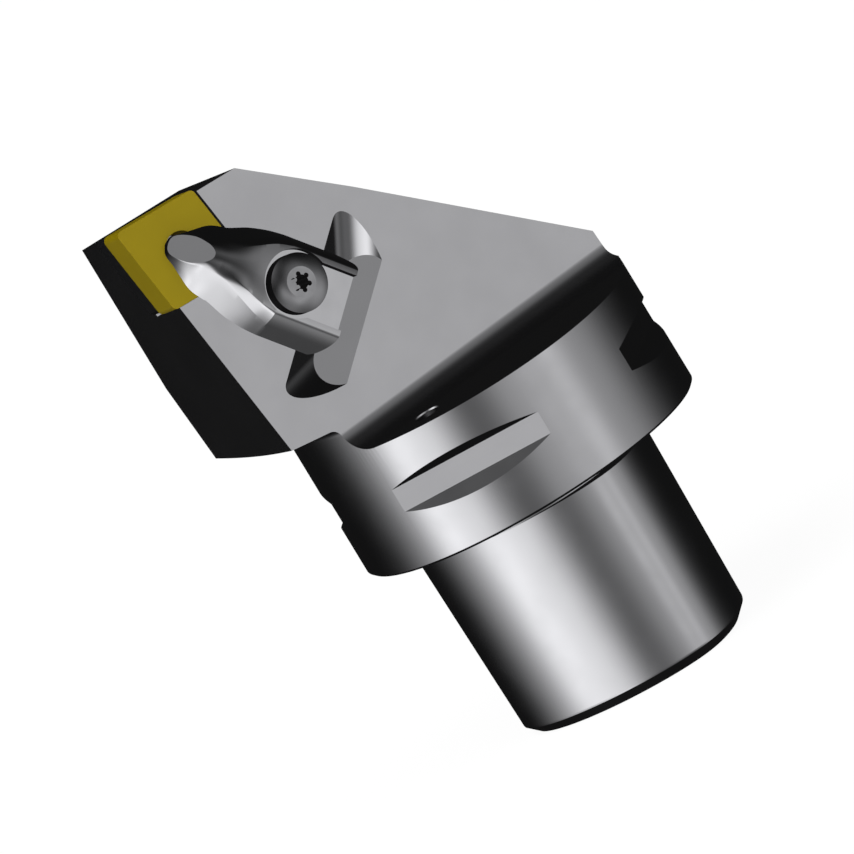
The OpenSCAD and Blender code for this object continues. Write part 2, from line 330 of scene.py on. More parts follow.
def thread_rings(r: float, low: float, high: float, pitch: float, form: Iterable[Point]) -> Outline:
    """Profile of a thread, drawn as one ring to each turn.

    Args:
        r: radius that the form stands on.
        low: height of the first ring.
        high: height that no ring starts over.
        pitch: height of a turn.
        form: how far out and how far up each corner of one ring lies.

    Returns:
        The corners, from the lowest up.
    """
    points: Outline = []
    while low < high:
        points += [(r + out, low + up) for out, up in form]
        low += pitch
    return points


@dataclass(frozen=True)
class Datum:
    """The frames and sizes that several pieces share, in millimetres and degrees."""

    nose: Triple = (35.1, 0.0, 60.06)
    tilt: float = 6.0
    insert_ic: float = 12.7
    insert_t: float = 4.76
    insert_corner: float = 80.0
    insert_heading: float = -45.0
    insert_nose_r: float = 0.8
    shim_t: float = 3.18
    shim_screw_r: float = 2.0
    clamp_at: Point = (-15.57, 18.95)
    clamp_heading: float = -53.3
    screw_r: float = 2.45
    spring_r: float = 3.3
    nozzle_at: Point = (15.5, 12.0)
    nozzle_r: float = 2.0
    nozzle_len: float = 6.0

    @property
    def half_angle(self) -> float:
        """Half of the insert's sharp corner, in radians."""
        return math.radians(self.insert_corner / 2)

    @property
    def half_long(self) -> float:
        """From the insert's centre to its sharp corner."""
        return self.insert_ic / 2 / math.sin(self.half_angle)

    @property
    def half_short(self) -> float:
        """From the insert's centre to its blunt corner."""
        return self.insert_ic / 2 / math.cos(self.half_angle)

    @property
    def edge(self) -> float:
        """Length of a side of the insert."""
        return self.insert_ic / math.sin(math.radians(self.insert_corner))

    @property
    def seat_floor(self) -> float:
        """Height of the floor under the shim, from the rake face."""
        return -self.insert_t - self.shim_t

    def rake(self) -> Matrix:
        """Frame of the rake face: origin at the sharp corner, z out of the face."""
        return moved(*self.nose) @ turned(x=self.tilt - 90, z=-self.tilt)

    def insert(self) -> Matrix:
        """Frame of the insert: origin at its centre, x towards the cutting corner."""
        return self.rake() @ turned(z=self.insert_heading) @ moved(-self.half_long, 0, 0)

    def clamp(self) -> Matrix:
        """Frame of the clamp: origin on the screw's axis, x towards the clamp's nose."""
        return self.rake() @ moved(*self.clamp_at, 0) @ turned(z=self.clamp_heading)

    def rhombus(self, inset: float) -> Outline:
        """The insert's outline with rounded corners.

        Args:
            inset: how far every side stands back.

        Returns:
            The outline, in the insert's frame.
        """
        k = inset + self.insert_nose_r
        x = self.half_long - k / math.sin(self.half_angle)
        y = self.half_short - k / math.cos(self.half_angle)
        blunt = self.insert_corner / 2
        sharp = 90 - blunt
        points: Outline = []
        corners = ((x, 0, 0, sharp), (0, y, 90, blunt), (-x, 0, 180, sharp), (0, -y, 270, blunt))
        for cx, cy, heading, half in corners:
            points += arc(cx, cy, self.insert_nose_r, heading - half, heading + half, 16)
        return points


def make_object(name: str, points: Iterable[Vector], faces: Iterable[Sequence[int]]) -> Solid:
    """Makes a mesh object in the scene, with its normals facing out.

    Args:
        name: object's name.
        points: its corners.
        faces: lists of corner numbers.

    Returns:
        The object.
    """
    mesh = bpy.data.meshes.new(name)
    mesh.from_pydata([tuple(p) for p in points], [], [tuple(f) for f in faces])
    work = bmesh.new()
    work.from_mesh(mesh)
    bmesh.ops.remove_doubles(work, verts=work.verts, dist=WELD)
    bmesh.ops.recalc_face_normals(work, faces=work.faces)
    work.to_mesh(mesh)
    work.free()
    made = bpy.data.objects.new(name, mesh)
    bpy.context.scene.collection.objects.link(made)
    return made


def loft(name: str, rings: Sequence[Ring], place: Matrix | None = None) -> Solid:
    """Skins a row of rings and closes both ends.

    Args:
        name: object's name.
        rings: rings with the same number of points.
        place: frame that the rings are given in.

    Returns:
        The closed mesh.
    """
    count = len(rings[0])
    frame = place or Matrix.Identity(4)
    points = [frame @ p for ring in rings for p in ring]
    faces: list[list[int]] = [list(range(count)), [(len(rings) - 1) * count + i for i in range(count)]]
    for k in range(len(rings) - 1):
        for i in range(count):
            j = (i + 1) % count
            faces.append([k * count + i, k * count + j, (k + 1) * count + j, (k + 1) * count + i])
    return make_object(name, points, faces)


def prism(name: str, outline: Outline, low: float, high: float, place: Matrix | None = None) -> Solid:
    """Pulls a flat outline into a solid.

    Args:
        name: object's name.
        outline: corners in the frame's x and y.
        low: height where it starts.
        high: height where it ends.
        place: frame that the outline is given in.

    Returns:
        The closed mesh.
    """
    return loft(name, [[Vector((x, y, z)) for x, y in outline] for z in (low, high)], place)


def revolve(name: str, profile: Outline, steps: int = 96, place: Matrix | None = None) -> Solid:
    """Turns a profile about the frame's z axis.

    Args:
        name: object's name.
        profile: radius and height of each corner, from the axis back to the axis.
        steps: chords round the circle.
        place: frame that the profile is given in.

    Returns:
        The closed mesh.
    """
    frame = place or Matrix.Identity(4)
    points: list[Vector] = []
    rows: list[list[int]] = []
    for r, z in profile:
        if r < WELD:
            rows.append([len(points)] * steps)
            points.append(frame @ Vector((0, 0, z)))
            continue
        rows.append(list(range(len(points), len(points) + steps)))
        for i in range(steps):
            a = TURN * i / steps
            points.append(frame @ Vector((r * math.cos(a), r * math.sin(a), z)))
    faces: list[list[int]] = []
    for low, high in zip(rows, rows[1:]):
        for i in range(steps):
            j = (i + 1) % steps
            corners = list(dict.fromkeys([low[i], low[j], high[j], high[i]]))
            if len(corners) > 2:
                faces.append(corners)
    return make_object(name, points, faces)


def bake(obj: Solid) -> None:
    """Applies an object's modifiers to its mesh.

    Args:
        obj: the object.
    """
    bpy.context.view_layer.update()
    graph = bpy.context.evaluated_depsgraph_get()
    mesh = bpy.data.meshes.new_from_object(obj.evaluated_get(graph))
    obj.modifiers.clear()
    obj.data = mesh


def apply_cut(target: Solid, tool: Solid, how: Cut = Cut.REMOVE) -> None:
    """Joins, cuts or trims a solid with another, which is then thrown away.

    Args:
        target: solid that changes.
        tool: solid that changes it.
        how: the kind of change.
    """
    step = target.modifiers.new("cut", "BOOLEAN")
    step.operation = how.value
    step.solver = "MANIFOLD"
    step.object = tool
    bake(target)
    bpy.data.objects.remove(tool)


def half_space(name: str, place: Matrix) -> Solid:
    """Returns a block that fills all above the frame's z = 0."""
    return prism(name, rectangle(-BIG, -BIG, BIG, BIG), 0, 2 * BIG, place)


def finish(obj: Solid, materials: Sequence[Material], sharp: float = 32) -> Solid:
    """Turns a millimetre mesh into a finished piece: true size, clean, smooth between its sharp edges.

    Args:
        obj: the piece.
        materials: its materials, by slot.
        sharp: angle in degrees over which an edge stays sharp.

    Returns:
        The same piece.
    """
    work = bmesh.new()
    work.from_mesh(obj.data)
    bmesh.ops.remove_doubles(work, verts=work.verts, dist=FINAL_WELD)
    bmesh.ops.dissolve_degenerate(work, edges=work.edges, dist=SLIVER)
    work.to_mesh(obj.data)
    work.free()
    obj.data.transform(Matrix.Scale(MM, 4))
    obj.data.shade_smooth()
    obj.data.set_sharp_from_angle(angle=math.radians(sharp))
    even = obj.modifiers.new("even", "WEIGHTED_NORMAL")
    even.keep_sharp = True
    even.weight = 60
    bake(obj)
    obj.data.materials.clear()
    for material in materials:
        obj.data.materials.append(material)
    return obj


def set_inputs(step: bpy.types.Modifier, values: dict[str, float | int]) -> None:
    """Sets a Geometry Nodes modifier's inputs by their names.

    Args:
        step: the modifier.
        values: input name to value.
    """
    for item in step.node_group.interface.items_tree:
        if item.item_type == "SOCKET" and item.in_out == "INPUT" and item.name in values:
            step[item.identifier] = values[item.name]


def end_tree(tree: Tree, shape: bpy.types.NodeSocket, material: Material | None) -> None:
    """Ends a Geometry Nodes tree with a plain mesh that has its finish.

    Args:
        tree: the tree.
        shape: output socket with the tree's result.
        material: the finish; none for a cutter.
    """
    add = partial(add_node, tree)
    real = add("GeometryNodeRealizeInstances", links={"Geometry": shape})
    dressed = add("GeometryNodeSetMaterial", {"Material": material}, {"Geometry": real.outputs["Geometry"]})
    add("NodeGroupOutput", links={0: dressed.outputs["Geometry"]})


def ring_tree() -> Tree:
    """Tree that sets copies of a cutter round the z axis.

    Returns:
        The tree, with inputs Count and Start angle.
    """
    tree = bpy.data.node_groups.new("ring_of_copies", "GeometryNodeTree")
    for name, kind in (("Mesh", "Geometry"), ("Count", "Int"), ("Start angle", "Float")):
        tree.interface.new_socket(name, in_out="INPUT", socket_type=f"NodeSocket{kind}")
    tree.interface.new_socket("Mesh", in_out="OUTPUT", socket_type="NodeSocketGeometry")
    add = partial(add_node, tree)
    given = add("NodeGroupInput").outputs
    spots = add("GeometryNodeMeshLine", {"Offset": (0, 0, 0)}, {"Count": given["Count"]})
    index = add("GeometryNodeInputIndex")
    share = add("ShaderNodeMath", {"operation": "DIVIDE"}, {0: index.outputs[0], 1: given["Count"]})
    full_turn = {"operation": "MULTIPLY_ADD", 1: TURN}
    angle = add("ShaderNodeMath", full_turn, {0: share.outputs[0], 2: given["Start angle"]})
    spin = add("ShaderNodeCombineXYZ", links={"Z": angle.outputs[0]})
    sources = {"Points": spots.outputs["Mesh"], "Instance": given["Mesh"], "Rotation": spin.outputs["Vector"]}
    copies = add("GeometryNodeInstanceOnPoints", links=sources)
    end_tree(tree, copies.outputs["Instances"], None)
    return tree


def ring_of(obj: Solid, count: int, start: float = 0.0) -> Solid:
    """Repeats a solid round the z axis.

    Args:
        obj: one copy, already at its radius.
        count: how many.
        start: angle of the first in degrees.

    Returns:
        The same object with all copies in its mesh.
    """
    step = obj.modifiers.new("ring", "NODES")
    step.node_group = ring_tree()
    set_inputs(step, {"Count": count, "Start angle": math.radians(start)})
    bake(obj)
    return obj


def coil_tree(material: Material) -> Tree:
    """Tree that winds flat wire into an upright coil.

    Args:
        material: finish of the wire.

    Returns:
        The tree, with inputs Turns, Radius, Height, Wire and Corner.
    """
    tree = bpy.data.node_groups.new("coil_of_wire", "GeometryNodeTree")
    for name in ("Turns", "Radius", "Height", "Wire", "Corner"):
        tree.interface.new_socket(name, in_out="INPUT", socket_type="NodeSocketFloat")
    tree.interface.new_socket("Mesh", in_out="OUTPUT", socket_type="NodeSocketGeometry")
    add = partial(add_node, tree)
    given = add("NodeGroupInput").outputs
    radii = {"Start Radius": given["Radius"], "End Radius": given["Radius"]}
    rise = {"Rotations": given["Turns"], "Height": given["Height"]}
    path = add("GeometryNodeCurveSpiral", {"Resolution": 48}, radii | rise)
    upright = add("GeometryNodeSetCurveNormal", {"mode": "Z_UP"}, {"Curve": path.outputs["Curve"]})
    square = {"Width": given["Wire"], "Height": given["Wire"]}
    section = add("GeometryNodeCurvePrimitiveQuadrilateral", links=square)
    corners = {"Curve": section.outputs["Curve"], "Radius": given["Corner"]}
    rounded = add("GeometryNodeFilletCurve", links=corners)
    curves = {"Curve": upright.outputs["Curve"], "Profile Curve": rounded.outputs["Curve"]}
    wire = add("GeometryNodeCurveToMesh", {"Fill Caps": True}, curves)
    end_tree(tree, wire.outputs["Mesh"], material)
    return tree


@dataclass
class Holder:
    """The steel holder: polygonal shank, flange with gripper slots, and the milled head."""

    datum: Datum
    # Shank.
    shank_dm: float = 35.0
    shank_ecc: float = 1.12
    shank_turn: float = 30.0
    shank_len: float = 30.0
    shank_taper: float = 0.05
    shank_chamfer: float = 1.5
    shank_steps: int = 240
    edge_up: float = 0.15
    edge_in: float = 0.05
    neck_h: float = 1.8
    neck_r: float = 16.2
    neck_bite: float = 0.5
    # Clamping bore, the groove in it and the pull thread.
    bore_r: float = 10.5
    bore_end: float = 2.0
    bore_chamfer: float = 1.0
    groove_r: float = 12.2
    groove_z: Point = (-24.5, -17.0)
    thread_core_r: float = 7.25
    thread_sink: float = 0.8
    thread_z: Point = (2.8, 12.4)
    thread_pitch: float = 1.5
    thread_form: tuple[Point, ...] = ((0.0, 0.0), (0.0, 0.35), (0.75, 0.75), (0.0, 1.15))
    thread_end: float = 13.0
    drill_tip: float = 16.0
    # Flange, its flare into the head blank, and the gripper slots.
    flange_r: float = 25.0
    flange_h: float = 17.8
    flange_chamfer: float = 0.35
    flare_up: float = 3.1
    flare_r: float = 1.3
    flare_end: float = 101.0
    cone_up: float = 2.9
    blank_r: float = 35.2
    stock: float = 5.0
    slot_floor: float = 22.3
    slot_low: float = 8.15
    slot_w: float = 3.4
    slot_flank: float = 30.0
    slot_count: int = 4
    slot_start: float = 45.0
    # Faces of the head: their angles, a point on each, and their fillets against the flange.
    relief: float = 6.0
    front_lean: float = -5.2
    side_lean: float = 4.8
    belly: float = 18.0
    far_flat: float = 21.8
    root_fillet: float = 3.8
    far_fillet: float = 2.5
    slant_front: float = 41.8
    slant_rear: float = 43.3
    front_point: Triple = (21.8, 1.58, 58.32)
    side_point: Triple = (33.31, 1.54, 47.16)
    slant_front_point: Triple = (15.5, 0.0, 57.78)
    slant_rear_point: Triple = (3.02, 0.0, 46.62)
    face_drop: float = 0.1
    # Insert seat and heel groove.
    seat_gap: float = 0.04
    wall_relief: float = 0.36
    wall_relief_z: float = -1.6
    corner_relief_r: float = 0.9
    heel_groove_at: float = -12.4
    heel_groove_floor: float = 1.8
    heel_groove_half: float = 5.2
    heel_groove_cutter_r: float = 4.0
    heel_groove_flare: float = 1.1
    heel_groove_deep: float = 12.0
    heel_groove_lean: float = 45.0
    # Tapped holes, spring seat and coolant way, with the gap round what sits in each.
    screw_gap: float = 0.05
    screw_depth: float = 15.5
    spring_gap: float = 0.15
    spring_depth: float = 5.0
    shim_screw_gap: float = 0.03
    shim_screw_depth: float = 11.0
    nozzle_gap: float = 0.02
    coolant_r: float = 1.5
    coolant_drop: float = 3.2
    coolant_bend: float = 2.0
    coolant_len: float = 15.0
    coolant_lean: float = -105.0
    # A face is turned where it looks along the radius or the axis, within these cosines.
    along_radius: float = 0.998
    along_axis: float = 0.999
    least_upright: float = 0.05
    turned_from_r: float = 15.0
    turned_share_of_flange: float = 0.6
    sharp: float = 9.0

    def mean_diameter(self, z: float) -> float:
        """Returns the polygon's mean diameter at a height."""
        return self.shank_dm + self.shank_taper * z

    def polygon_ring(self, dm: float, z: float) -> Ring:
        """One ring of the polygonal shank.

        Args:
            dm: mean diameter.
            z: height of the ring.

        Returns:
            The ring's points.
        """
        ring = []
        e = self.shank_ecc
        c, s = math.cos(math.radians(self.shank_turn)), math.sin(math.radians(self.shank_turn))
        for i in range(self.shank_steps):
            a = TURN * i / self.shank_steps
            x = dm / 2 * math.cos(a) - 2 * e * math.cos(2 * a) + e * math.cos(4 * a)
            y = dm / 2 * math.sin(a) + 2 * e * math.sin(2 * a) + e * math.sin(4 * a)
            ring.append(Vector((x * c - y * s, x * s + y * c, z)))
        return ring

    def shank(self) -> Solid:
        """Builds the polygonal shank with its end chamfer.

        Returns:
            The shank.
        """
        edge = -self.shank_len + self.shank_chamfer
        sizes = (
            (self.mean_diameter(-self.neck_h), -self.neck_h),
            (self.mean_diameter(edge + self.edge_up), edge + self.edge_up),
            (self.mean_diameter(edge) - 2 * self.edge_in, edge - self.edge_in),
            (self.mean_diameter(-self.shank_len) - 2 * self.shank_chamfer, -self.shank_len),
        )
        return loft("shank", [self.polygon_ring(dm, z) for dm, z in sizes])

    def blank(self) -> Solid:
        """Builds the turned flange and head blank.

        Returns:
            The blank.
        """
        r, c, flare_z = self.flange_r, self.flange_chamfer, self.flange_h + self.flare_up
        top = self.datum.nose[2] + self.stock
        profile = [(0.0, 0.0), (r - c, 0.0), (r, c), (r, self.flange_h / 2), (r, flare_z)]
        profile += arc(r + self.flare_r, flare_z, self.flare_r, 180, self.flare_end, 20)
        profile += [(self.blank_r, flare_z + self.cone_up), (self.blank_r, top), (0.0, top)]
        return revolve("holder", profile, 256)

    def hollow(self) -> Solid:
        """Builds the cutter of the clamping bore, its segment groove and the pull thread.

        Returns:
            The cutter.
        """
        b, g, t, c, end = self.bore_r, self.groove_r, self.thread_core_r, self.bore_chamfer, -self.shank_len
        low, high = self.groove_z
        profile = [(0.0, end - c), (b + c, end - c), (b + c, end), (b, end + c), (b, low), (g, low + g - b)]
        profile += [(g, high - g + b), (b, high), (b, self.bore_end), (t + self.thread_sink, self.bore_end)]
        profile += thread_rings(t, *self.thread_z, self.thread_pitch, self.thread_form)
        profile += [(t, self.thread_end), (0.0, self.drill_tip)]
        return revolve("bore", profile, 128)

    def planes(self) -> list[Solid]:
        """Builds the flat cuts that shape the head.

        Returns:
            The cutters.
        """
        side = turned(y=self.side_lean, z=-self.relief) @ turned(y=90)
        cuts = (
            ("front", self.front_point, turned(x=self.relief, y=self.front_lean)),
            ("side", self.side_point, side),
            ("slant", self.slant_front_point, turned(y=-self.slant_front)),
            ("slant_rear", self.slant_rear_point, turned(y=-self.slant_rear)),
        )
        return [half_space(name, moved(*point) @ turn) for name, point, turn in cuts]

    def swept_cuts(self) -> list[Solid]:
        """Builds the cuts that end in a fillet against the flange.

        Returns:
            The cutters.
        """
        c, foot = self.root_fillet, self.flange_h
        tilt = math.radians(self.datum.tilt)
        root = foot - self.datum.nose[2]
        fillet_z = root + c
        fillet_y = (c - fillet_z * math.sin(tilt)) / math.cos(tilt)
        rake = [(-CLEAR * math.tan(tilt), CLEAR)]
        rake += arc(fillet_y, fillet_z, c, 180 + self.datum.tilt, 270, 40)
        rake += [(BIG, root), (BIG, CLEAR)]
        along = turned(x=90, z=90)
        place = moved(*self.datum.nose) @ turned(z=-self.datum.tilt) @ moved(0, -self.face_drop, 0) @ along
        cuts = [prism("rake", rake, -BIG, BIG, place)]
        for name, flat, r, steps, place in (
            ("belly", -self.belly, c, 40, along),
            ("far", -self.far_flat, self.far_fillet, 24, turned(x=90)),
        ):
            outline = [(flat, BIG), (-BIG, BIG), (-BIG, foot)] + arc(flat - r, foot + r, r, 270, 360, steps)
            cuts.append(prism(name, outline, -BIG, BIG, place))
        return cuts

    def gripper_slots(self) -> Solid:
        """Builds the V-sided slots of the flange.

        Returns:
            One cutter with all of them.
        """
        floor, low, high = self.slot_floor, self.slot_low, self.slot_low + self.slot_w
        run = self.flange_r + 1 - floor
        side = run * math.tan(math.radians(self.slot_flank))
        outline = [(floor, low), (floor + run, low - side), (floor + run, high + side), (floor, high)]
        one = prism("slots", outline, 0, 2 * CLEAR, moved(0, CLEAR, 0) @ turned(x=90))
        return ring_of(one, self.slot_count, self.slot_start)

    def seat_walls(self) -> tuple[Vector, Vector]:
        """Finds the seat's walls in the rake frame.

        Returns:
            Unit vectors from the cutting corner along the front and the side wall.
        """
        half = self.datum.insert_corner / 2
        back = 180 + self.datum.insert_heading
        front, side = math.radians(back + half), math.radians(back - half)
        return Vector((math.cos(front), math.sin(front))), Vector((math.cos(side), math.sin(side)))

    def seat_outline(self, shift: float) -> Outline:
        """The insert seat's outline with one wall set back.

        Args:
            shift: how far that wall stands back.

        Returns:
            The outline, in the rake frame.
        """
        front, side = self.seat_walls()
        far = 2 * CLEAR
        corner = (self.datum.edge + self.seat_gap) * (front + side) + shift * front
        corners = (corner, corner - far * front, corner - far * (front + side), corner - far * side)
        return [(p.x, p.y) for p in corners]

    def pocket(self) -> list[Solid]:
        """Builds the cuts of the insert seat.

        Returns:
            The cutters.
        """
        floor, rake = self.datum.seat_floor, self.datum.rake()
        front, side = self.seat_walls()
        corner = self.datum.edge * (front + side)
        return [
            prism("seat", self.seat_outline(0), floor, CLEAR, rake),
            prism("seat_wall", self.seat_outline(self.wall_relief), self.wall_relief_z, CLEAR, rake),
            prism("seat_corner", circle(self.corner_relief_r, 48, corner.x, corner.y), floor, CLEAR, rake),
        ]

    def heel_groove(self) -> Solid:
        """Builds the cutter of the groove that takes the clamp's heel: a leaning slot with flared ends.

        Returns:
            The cutter.
        """
        r, rings = self.heel_groove_cutter_r, []
        for h in (0.0, self.heel_groove_deep):
            half = self.heel_groove_half + self.heel_groove_flare * h
            outline = arc(0, half, r, 0, 180, 48) + arc(0, -half, r, 180, 360, 48)
            rings.append([Vector((x, y, h)) for x, y in outline])
        mouth = self.datum.clamp() @ moved(self.heel_groove_at, 0, -self.face_drop)
        floor = mouth @ turned(y=self.heel_groove_lean) @ moved(self.heel_groove_floor, 0, 0)
        return loft("heel_groove", rings, floor)

    def holes(self) -> list[Solid]:
        """Builds the cutters of the screw holes, the spring seat, the nozzle's seat and the coolant way.

        Returns:
            The cutters.
        """
        d = self.datum
        clamp, insert = d.clamp(), d.insert()
        x, y = d.nozzle_at
        nozzle, foot = moved(x, y, 0), self.flange_h - d.nozzle_len
        outwards = turned(z=math.degrees(math.atan2(y, x)))
        way = moved(x, y, foot - self.coolant_bend) @ outwards @ turned(y=self.coolant_lean)
        shim_r, low = d.shim_screw_r + self.shim_screw_gap, d.seat_floor
        cuts = (
            ("clamp_tap", d.screw_r + self.screw_gap, 48, -self.screw_depth, 4, clamp),
            ("spring_seat", d.spring_r + self.spring_gap, 64, -self.spring_depth, 5, clamp),
            ("shim_tap", shim_r, 48, low - self.shim_screw_depth, low + 3, insert),
            ("nozzle_seat", d.nozzle_r + self.nozzle_gap, 48, foot - 0.3, foot + d.nozzle_len + 1, nozzle),
            ("coolant_drop", self.coolant_r, 32, foot - self.coolant_drop, foot + 0.5, nozzle),
            ("coolant_way", self.coolant_r, 32, 0, self.coolant_len, way),
        )
        return [prism(name, circle(r, steps), low, high, at) for name, r, steps, low, high, at in cuts]

    def mark_faces(self, obj: Solid) -> None:
        """Gives each face the slot of the tool that made it.

        Args:
            obj: the finished holder.
        """
        for face in obj.data.polygons:
            out = Vector((face.center.x, face.center.y, 0))
            flat = Vector((face.normal.x, face.normal.y, 0))
            upright = flat.length > self.least_upright and out.length > self.turned_from_r * MM
            is_round = upright and abs(out.normalized().dot(flat.normalized())) > self.along_radius
            is_ring = abs(face.normal.z) > self.along_axis
            is_low = face.center.z < self.flange_h * MM * self.turned_share_of_flange
            on_shank = face.center.z < -self.neck_h * MM
            is_turned = on_shank or (is_ring and is_low) or is_round
            face.material_index = (Machining.TURNED if is_turned else Machining.MILLED).value

    def build(self) -> Solid:
        """Builds the holder.

        Returns:
            The holder, dressed.
        """
        body = self.blank()
        for tool in self.swept_cuts() + self.planes():
            apply_cut(body, tool)
        apply_cut(body, self.gripper_slots())
        neck = prism("neck", circle(self.neck_r, 128), -self.neck_h - self.neck_bite, self.neck_bite)
        apply_cut(body, neck, Cut.JOIN)
        apply_cut(body, self.shank(), Cut.JOIN)
        for tool in [self.hollow()] + self.pocket() + [self.heel_groove()] + self.holes():
            apply_cut(body, tool)
        finish(body, [TURNED.build(), MILLED.build(self.datum.clamp())], self.sharp)
        self.mark_faces(body)
        return body


@dataclass(frozen=True)
class Rib:
    """Sizes of one section of the clamp: half-widths, and heights over the insert's top."""

    x: float
    foot: float
    crease: float
    crease_z: float
    shoulder: float
    crown: float

    def sizes(self) -> tuple[float, ...]:
        """Returns all sizes but the place."""
        return (self.foot, self.crease, self.crease_z, self.shoulder, self.crown)


@dataclass
class Clamp:
    """The forged top clamp, from its heel to the nose that presses on the insert."""

    datum: Datum
    # Bar under the screw's head, its flat and spot face, and the screw's hole.
    pad_h: float = 4.2
    flat_half: float = 3.92
    cutter_top: float = 14.0
    corner_r: float = 2.4
    spot_r: float = 4.7
    hole_r: float = 2.7
    bar_sections: int = 24
    # Heel: the wedge's front end, the groove's wall, and how far it reaches into the bar.
    heel_x: float = -7.7
    heel_wall: float = -4.14
    heel_half: float = 4.8
    heel_toe: float = 0.3
    heel_bite: float = 0.8
    heel_top: float = 1.5
    # Underside, the flat facet on the nose, and the pin in the insert's hole.
    arch: float = 0.1
    arch_end: float = 10.0
    touch: float = 0.02
    facet_x: float = 14.6
    facet_z: float = 2.4
    facet_tilt: float = 30.0
    facet_back: float = -3.4
    pin_x: float = 14.3
    pin_profile: tuple[Point, ...] = ((0, -1.6), (1.7, -1.6), (1.9, -1.4), (2.1, 0.8), (0, 0.8))
    # Crease between flank and shoulder: its angle, how soon it is full, and where it fades.
    crease_angle: float = 12.0
    crease_ramp: float = 2.4
    crease_fade: Point = (6.0, 10.5)
    # How far the crown drops to its shoulders, on the bar and more towards the nose.
    droop: float = 0.08
    nose_droop: float = 0.1
    shoulder_inset: float = 0.05
    least_shoulder: float = 0.01
    shoulder_steps: int = 24
    crown_steps: int = 7
    sections: int = 110
    crowding: float = 1.7
    sharp: float = 9.0
    ribs: tuple[Rib, ...] = (
        Rib(1.8, 7.15, 6.1, 2.9, 4.6, 5.72),
        Rib(4.2, 6.92, 5.35, 3.65, 4.1, 5.6),
        Rib(7.0, 6.3, 4.0, 3.95, 2.8, 5.29),
        Rib(9.5, 5.35, 2.7, 3.95, 1.55, 4.72),
        Rib(12.3, 4.6, 2.0, 3.05, 1.2, 3.9),
        Rib(14.2, 3.3, 2.0, 2.4, 1.2, 3.2),
        Rib(15.6, 2.25, 1.78, 1.75, 1.1, 2.4),
        Rib(16.7, 1.55, 1.35, 1.2, 0.9, 1.75),
        Rib(17.15, 0.98, 0.85, 0.85, 0.5, 1.4),
        Rib(17.4, 0.12, 0.1, 0.1, 0.05, 0.3),
    )

    def rib_at(self, x: float) -> tuple[float, ...]:
        """Reads the sizes of the finger between two ribs, on a smooth curve through all of them.

        Args:
            x: place along the clamp.

        Returns:
            Foot, crease, height of the crease, shoulder and crown.
        """
        ribs = self.ribs
        i = max(k for k in range(len(ribs) - 1) if ribs[k].x <= x + 1e-9)
        here, there = ribs[i], ribs[i + 1]
        before, after = ribs[max(i - 1, 0)], ribs[min(i + 2, len(ribs) - 1)]
        span = there.x - here.x
        u = (x - here.x) / span
        result = []
        for p, a, b, q in zip(before.sizes(), here.sizes(), there.sizes(), after.sizes()):
            slope_a = (b - p) / (there.x - before.x) * span
            slope_b = (q - a) / (after.x - here.x) * span
            rise = (2 * u**3 - 3 * u**2 + 1) * a + (3 * u**2 - 2 * u**3) * b
            result.append(rise + (u**3 - 2 * u**2 + u) * slope_a + (u**3 - u**2) * slope_b)
        return tuple(result)

    def section(self, x: float) -> Ring:
        """One section: leaning flank, crease, rounded shoulder and low crown.

        Args:
            x: place along the clamp.

        Returns:
            The section's ring, in the clamp's frame.
        """
        foot, crease, crease_z, shoulder, crown = self.rib_at(x)
        half = [(foot + (crease - foot) * t, crease_z * t) for t in (0.0, 0.25, 0.5, 0.75, 1.0)]
        side = min(shoulder, crease - self.shoulder_inset)
        start, end = self.crease_fade
        fade = min(max((x - start) / (end - start), 0.0), 1.0)
        droop = self.droop + self.nose_droop * fade
        shoulder_z = crown - droop * side
        # The shoulder is a curve of three points. It leaves the flank at the crease's angle, and its middle
        # point lies where it runs smoothly into the crown.
        turn = self.crease_angle * min((x - self.ribs[0].x) / self.crease_ramp, 1.0) * (1 - fade)
        rise = math.atan2(crease_z, foot - crease) - math.radians(turn)
        reach = shoulder_z - crease_z - 2 * droop * (crease - side)
        length = max(reach / (math.sin(rise) - 2 * droop * math.cos(rise)), self.least_shoulder)
        bend = Vector((crease - length * math.cos(rise), crease_z + length * math.sin(rise)))
        for k in range(1, self.shoulder_steps + 1):
            t = k / self.shoulder_steps
            y = (1 - t) ** 2 * crease + 2 * t * (1 - t) * bend.x + t**2 * side
            z = (1 - t) ** 2 * crease_z + 2 * t * (1 - t) * bend.y + t**2 * shoulder_z
            half.append((y, z))
        for k in range(1, self.crown_steps):
            y = side * (1 - k / self.crown_steps)
            half.append((y, crown - droop * side * (y / side) ** 2))
        ring = half + [(-y, z) for y, z in reversed(half)]
        return [Vector((x, y, z)) for y, z in ring]

    def bar_and_finger(self) -> Solid:
        """Builds the bar under the screw's head and the finger with its flat nose facet, as one forging.

        Returns:
            The forging.
        """
        place = self.datum.clamp()
        first, last = self.ribs[0].x, self.ribs[-1].x
        bar = [self.heel_x + (first - self.heel_x) * i / self.bar_sections for i in range(self.bar_sections)]
        start = self.section(first)
        rings = [[Vector((x, p.y, p.z)) for p in start] for x in bar]
